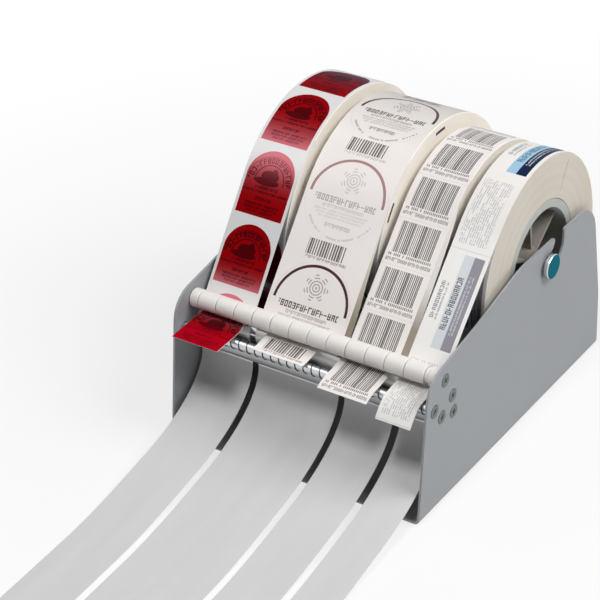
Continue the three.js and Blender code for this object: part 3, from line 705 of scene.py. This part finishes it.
def wound_paper(name, tone, warmth, marks_and_crease_shade):
    """The side of a roll: hundreds of cut layers, cream with a few darker turns. A crease is
    painted as shade, and the lightness and warmth given for each roll are painted light and shade.
    """
    cream_dark, cream_light, glue_brown = (0.77, 0.72, 0.65), (0.84, 0.80, 0.74), (0.56, 0.47, 0.36)
    stain_brown, mark_and_shade_brown = (0.70, 0.56, 0.38), (0.06, 0.022, 0.015)
    material, tree, shader = new_material(name, 0.72)
    axes = tree.nodes.new("ShaderNodeSeparateXYZ")
    tree.links.new(tree.nodes.new("ShaderNodeTexCoord").outputs["Object"], axes.inputs[0])
    reach = distance(tree, axes.outputs[1], axes.outputs[2], axis_back, axis_height)
    layers = node_of(tree, "ShaderNodeTexNoise", noise_dimensions="1D", Scale=2600, Detail=3)
    tree.links.new(reach, layers.inputs["W"])
    turns = node_of(tree, "ShaderNodeTexNoise", noise_dimensions="1D", Scale=240, Detail=2)
    tree.links.new(reach, turns.inputs["W"])
    stain = object_noise(tree, 22, 3)
    cream = blended(tree, turns.outputs["Fac"], cream_dark, cream_light)
    cream = blended(tree, maths(tree, "MULTIPLY", layers.outputs["Fac"], 0.22), cream, glue_brown)
    warm = maths(tree, "MULTIPLY", maths(tree, "SUBTRACT", stain, 0.45), 0.6)
    toned = node_of(tree, "ShaderNodeHueSaturation", Value=tone, Saturation=warmth)
    cream = blended(tree, maths(tree, "MAXIMUM", warm, 0.0), cream, stain_brown)
    angle = maths(tree, "ARCTAN2", maths(tree, "SUBTRACT", axes.outputs[2], axis_height),
                  maths(tree, "SUBTRACT", axes.outputs[1], axis_back))
    # Ink marks, and on roll 4 the painted shade of a crease, in dark brown.
    for inside, outside, start, end, weight in marks_and_crease_shade:
        mark_and_shade = all_of(tree, between(tree, reach, inside, outside),
                      between(tree, angle, math.radians(start), math.radians(end)), weight)
        cream = blended(tree, mark_and_shade, cream, mark_and_shade_brown)
    tree.links.new(cream, toned.inputs["Color"])
    tree.links.new(toned.outputs[0], shader.inputs["Base Color"])
    relief = node_of(tree, "ShaderNodeBump", Strength=0.35, Distance=0.0002)
    tree.links.new(layers.outputs["Fac"], relief.inputs["Height"])
    tree.links.new(relief.outputs[0], shader.inputs["Normal"])
    return material


stray_ink = ((0.0808, 0.083, 139, 148.5, 1), (0.0793, 0.0815, 87, 95.5, 1))
# Painted shade: a darker band where roll 4's side has a crease; the side itself stays flat.
crease_shade = ((0.0500, 0.0725, 59.5, 60.3, 0.3), (0.0585, 0.0700, 60.3, 61.5, 0.12))
# Painted light and shade: each roll's side has its own lightness and warmth, lighter on rolls 1 to
# 3, most on 2 and 3, darker and warmer on roll 4.
roll_sides = [wound_paper(f"wound_paper_{i + 1}", tone, warmth, marks_and_crease_shade)
              for i, (tone, warmth, marks_and_crease_shade) in enumerate((
                  (1.1, 0.95, ()), (1.2, 0.85, stray_ink), (1.2, 0.85, ()), (0.8, 1.25, crease_shade)))]
label_faces = [label_material(group.name, group, gloss)
               for group, gloss in zip(prints, (0.01, 0.22, 0.22, 0.08))]
peel_low, peel_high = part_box("peel_rod")
peel_back, peel_height = (peel_low[1] + peel_high[1]) / 2, (peel_low[2] + peel_high[2]) / 2
peel_radius = (peel_high[2] - peel_low[2]) / 2
sheet_gap, core_play = 0.0005, 0.0003
roll_sizes = []
core_low, core_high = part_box("core_1")
inner = (core_high[2] - core_low[2]) / 2 + core_play
for number in range(1, 5):
    low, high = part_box(f"label_roll_{number}")
    radius = (high[2] - low[2]) / 2
    run = Vector((axis_back - peel_back, axis_height - peel_height))
    lift = math.pi / 2 + math.atan2(run.y, run.x) + math.asin(
        (radius - peel_radius) / run.length)
    roll_sizes.append(((low[0] + high[0]) / 2, high[0] - low[0], radius, lift))


def roll_of_labels(number):
    centre, width, radius, lift = roll_sizes[number - 1]
    half, soft, rim_depth, seam = width / 2, 0.0003, 0.0006, -math.pi * 0.6
    form = bmesh.new()
    corners = [(-half, inner), (-half, radius - soft), (-half + soft, radius),
               (half - soft, radius), (half, radius - soft), (half, inner)]
    ring = [form.verts.new((centre + x, axis_back, axis_height + r)) for x, r in corners]
    edges = [form.edges.new((ring[i], ring[(i + 1) % 6])) for i in range(6)]
    bmesh.ops.spin(form, geom=ring + edges, cent=(centre, axis_back, axis_height),
                   axis=(1, 0, 0), angle=2 * math.pi, steps=160, use_merge=True)
    bmesh.ops.remove_doubles(form, verts=form.verts, dist=0.000002)
    bmesh.ops.recalc_face_normals(form, faces=form.faces)
    layer = form.loops.layers.uv.new("web")
    for face in form.faces:
        middle = face.calc_center_median()
        turned = math.atan2(middle.z - axis_height, middle.y - axis_back)
        on_rim = math.hypot(middle.z - axis_height, middle.y - axis_back) > radius - rim_depth
        if turned < seam:
            turned += 2 * math.pi
        face.material_index = 1 if on_rim and abs(face.normal.x) < 0.5 else 0
        face.smooth = face.material_index == 1
        for corner in face.loops:
            point = corner.vert.co
            angle = math.atan2(point.z - axis_height, point.y - axis_back)
            angle += 2 * math.pi * round((turned - angle) / (2 * math.pi))
            corner[layer].uv = (point.x - centre, (lift - angle) * radius)
    for edge in form.edges:
        edge.smooth = all(face.smooth for face in edge.link_faces)
    mesh = bpy.data.meshes.new(f"label_roll_{number}_look")
    form.to_mesh(mesh)
    form.free()
    piece = bpy.data.objects.new(mesh.name, mesh)
    bpy.context.collection.objects.link(piece)
    mesh.materials.append(roll_sides[number - 1])
    mesh.materials.append(label_faces[number - 1])
    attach(piece, f"roll_{number}")
    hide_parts(f"label_roll_{number}")


for number in range(1, 5):
    roll_of_labels(number)


# Liner strips
# The backing paper goes from each roll under the bar, round the peel rod and the rod below
# it, and runs out in front, its labels on it down to the peel rod.
guide_low, guide_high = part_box("guide_rod_front")
guide_back, guide_height = (guide_low[1] + guide_high[1]) / 2, (guide_low[2] + guide_high[2]) / 2
guide_radius = (guide_high[2] - guide_low[2]) / 2
front_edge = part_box("housing")[0][1]
roll_steps, web_steps, peel_steps, guide_steps, flat_steps = 12, 12, 16, 6, 14


def bezier(a, b, c, d, count):
    for k in range(1, count + 1):
        t = k / count
        yield (a * (1 - t) ** 3 + b * 3 * t * (1 - t) ** 2 + c * 3 * t * t * (1 - t) + d * t ** 3)


def strip_line(number):
    """Middle line of a strip in the side view, and its lengths on the roll and to the rod."""
    radius, lift = roll_sizes[number - 1][2:]
    sunk, rise, step_turn, start_gap = 0.00025, 0.0007, 0.03, sheet_gap - 0.00005
    peel, guide = peel_radius + sheet_gap, guide_radius + sheet_gap
    cross = Vector((guide_back - peel_back, guide_height - peel_height))
    leave = math.atan2(cross.y, cross.x) % (2 * math.pi) - math.acos(
        min((peel + guide) / cross.length, 1))

    def around(back, height, reach, angle):
        return Vector((back + reach * math.cos(angle), height + reach * math.sin(angle)))

    points = [around(axis_back, axis_height, radius - sunk + rise * (k / roll_steps),
                     lift - step_turn * (roll_steps - k)) for k in range(roll_steps)]
    start = around(axis_back, axis_height, radius + start_gap, lift)
    on_roll = sum((b - a).length for a, b in zip(points, points[1:] + [start]))
    reach = around(peel_back, peel_height, peel, lift)
    points += [start.lerp(reach, k / web_steps) for k in range(web_steps)]
    points += [around(peel_back, peel_height, peel, lift + (leave - lift) * k / peel_steps)
               for k in range(peel_steps + 1)]
    points += [around(guide_back, guide_height, guide, (leave - math.pi) * (1 - k / guide_steps))
               for k in range(guide_steps + 1)]
    hang, end = guide_back + guide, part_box(f"liner_strip_{number}")[0][1]
    top, top_pull = Vector((hang, 0.054)), Vector((hang, 0.030))
    edge_pull, shoulder, slope_pull, floor_pull, floor_end = (
        Vector((front_edge - out, height)) for out, height in (
            (0.002, 0.014), (0.040, 0.009), (0.062, 0.0061), (0.095, 0.0002), (0.130, 0.0002)))
    points += [top, *bezier(top, top_pull, edge_pull, shoulder, 28),
               *bezier(shoulder, slope_pull, floor_pull, floor_end, 24)]
    kept = [point for point in points if point.x > end]
    if len(kept) == len(points):
        last = kept[-1]
        kept += [last.lerp(Vector((end, last.y)), k / flat_steps)
                 for k in range(1, flat_steps + 1)]
    else:
        cut = next(point for point in points if point.x <= end)
        kept.append(kept[-1].lerp(cut, (kept[-1].x - end) / (kept[-1].x - cut.x)))
    return kept, on_roll, (reach - start).length


def liner_paper(name, dark, light, mirror=0.0):
    """Smooth pale liner with faint marks along its run; mirror makes it shine like metal."""
    material, tree, shader = new_material(name, 0.42, mirror)
    streak = object_noise(tree, 12, 4, (6, 1, 1))
    cloud = object_noise(tree, 30, 3)
    tree.links.new(blended(tree, streak, dark, light), shader.inputs["Base Color"])
    tree.links.new(maths(tree, "MULTIPLY_ADD", cloud, 0.2, 0.34), shader.inputs["Roughness"])
    relief = node_of(tree, "ShaderNodeBump", Strength=0.18, Distance=0.0006)
    tree.links.new(cloud, relief.inputs["Height"])
    tree.links.new(relief.outputs[0], shader.inputs["Normal"])
    return material


liner_look = liner_paper("liner_paper", (0.55, 0.55, 0.56), (0.63, 0.625, 0.63))
# Painted light: where the liner turns round the peel rod it is much lighter than the rest and
# shines like metal, so it looks lit under the bar.
liner_painted_lit = liner_paper("liner_painted_lit", (0.9, 0.89, 0.87), (0.96, 0.95, 0.93), 0.45)


def paper_sheet(name, line, place, face, back, thickness, uv, face_until=None):
    """A sheet that follows a line in the side view; place gives x for a share of the width."""
    lengths = [0.0]
    for before, after in zip(line, line[1:]):
        lengths.append(lengths[-1] + (after - before).length)
    form = bmesh.new()
    bmesh.ops.create_grid(form, x_segments=6, y_segments=len(line) - 1, size=0.5)
    layer = form.loops.layers.uv.new("web")
    rows = {}
    for vert in form.verts:
        row = round((0.5 - vert.co.y) * (len(line) - 1))
        share = vert.co.x + 0.5
        along = (line[min(row + 1, len(line) - 1)] - line[max(row - 1, 0)]).normalized()
        point = line[row] + Vector((along.y, -along.x)) * thickness / 2
        vert.co = (place(share, point.x, lengths[row]), point.x, point.y)
        rows[vert] = (row, share)
    for face_made in form.faces:
        middle = sum(rows[v][0] for v in face_made.verts) / 4
        face_made.smooth = True
        length = lengths[int(middle)]
        if face_until is not None and length >= face_until[0]:
            face_made.material_index = 2 if length < face_until[1] else 1
        for corner in face_made.loops:
            row, share = rows[corner.vert]
            corner[layer].uv = uv(share, lengths[row])
    form.normal_update()
    form.faces.ensure_lookup_table()
    for edge in form.edges:
        edge.smooth = not edge.is_boundary
    first = form.faces[0]
    at = rows[first.verts[0]][0]
    outward = line[min(at + 1, len(line) - 1)] - line[max(at - 1, 0)]
    if first.normal.dot(Vector((0, outward.y, -outward.x))) < 0:
        bmesh.ops.reverse_faces(form, faces=form.faces)
    mesh = bpy.data.meshes.new(name)
    form.to_mesh(mesh)
    form.free()
    piece = bpy.data.objects.new(name, mesh)
    bpy.context.collection.objects.link(piece)
    for look in (face, back, liner_painted_lit):
        mesh.materials.append(look)
    wall = piece.modifiers.new("thickness", "SOLIDIFY")
    wall.thickness = thickness
    wall.offset = -1
    wall.material_offset = 1
    wall.material_offset_rim = 1
    return piece


margins = ((0.0, 1.0), (0.0043, 1.5), (0.0052, 0.4), (0.0, 1.0))
growth_length, growth_lead, taper_length = 0.08, 0.005, 0.012
liner_thickness, turned_length = 0.0003, 0.022
drift, drift_from = 0.043, guide_back + guide_radius
for number in range(1, 5):
    centre, width = roll_sizes[number - 1][:2]
    line, on_roll, to_peel = strip_line(number)
    margin, growth = margins[number - 1]

    def spread(share, length):
        """Place across the strip from its middle; above the bar its right edge grows wider."""
        grown = min(max((length - on_roll + growth_lead) / growth_length, 0.0), 1.0) ** growth
        narrowed = min(max((on_roll + to_peel + taper_length - length) / taper_length, 0.0), 1.0)
        return (share - 0.5) * width + share * margin * grown * narrowed

    def strip_place(share, back, length):
        return centre + spread(share, length) + max(0.0, drift_from - back) * drift

    strip = paper_sheet(f"liner_strip_{number}_look", line, strip_place, label_faces[number - 1],
                        liner_look, liner_thickness,
                        lambda share, length: (spread(share, length), on_roll - length),
                        (on_roll + to_peel, on_roll + to_peel + turned_length))
    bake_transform(strip)
    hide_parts(f"liner_strip_{number}")


# Peeled labels
# One label of each roll has come off at the peel rod and lies over the wire spring, its
# printed side up. The narrow one has curled down in front of the spring.
peeled_starts = (-0.1262, -0.051, -0.0101, -0.021)
drops = (0.0006, 0.0002, 0.0042, 0.0122)
plain_back = grained("label_back", (0.70, 0.69, 0.67), (0.78, 0.77, 0.75), 0.6)
over, rest_height = coil_centre.y, spring_high[2] + 0.00025
label_thickness, back_slope, label_steps = 0.0002, 0.16, 22
for number in range(1, 5):
    low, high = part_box(f"peeled_label_{number}")
    back_end, front_end = high[1], low[1]
    middle, half = (low[0] + high[0]) / 2, (high[0] - low[0]) / 2
    line = []
    for k in range(label_steps + 1):
        back = back_end + (front_end - back_end) * k / label_steps
        past = max(0.0, over - back) / (over - front_end)
        line.append(Vector((back, rest_height + max(0.0, back - over) * back_slope
                            - drops[number - 1] * past ** 2)))
    total = sum((b - a).length for a, b in zip(line, line[1:]))
    roll_centre, start = roll_sizes[number - 1][0], peeled_starts[number - 1]

    def label_place(share, back, length):
        return middle + (share * 2 - 1) * half

    label = paper_sheet(f"peeled_label_{number}_look", line, label_place,
                        label_faces[number - 1], plain_back, label_thickness,
                        lambda share, length: (middle + (share * 2 - 1) * half - roll_centre,
                                               start + total - length))
    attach(label, "machine")
    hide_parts(f"peeled_label_{number}")
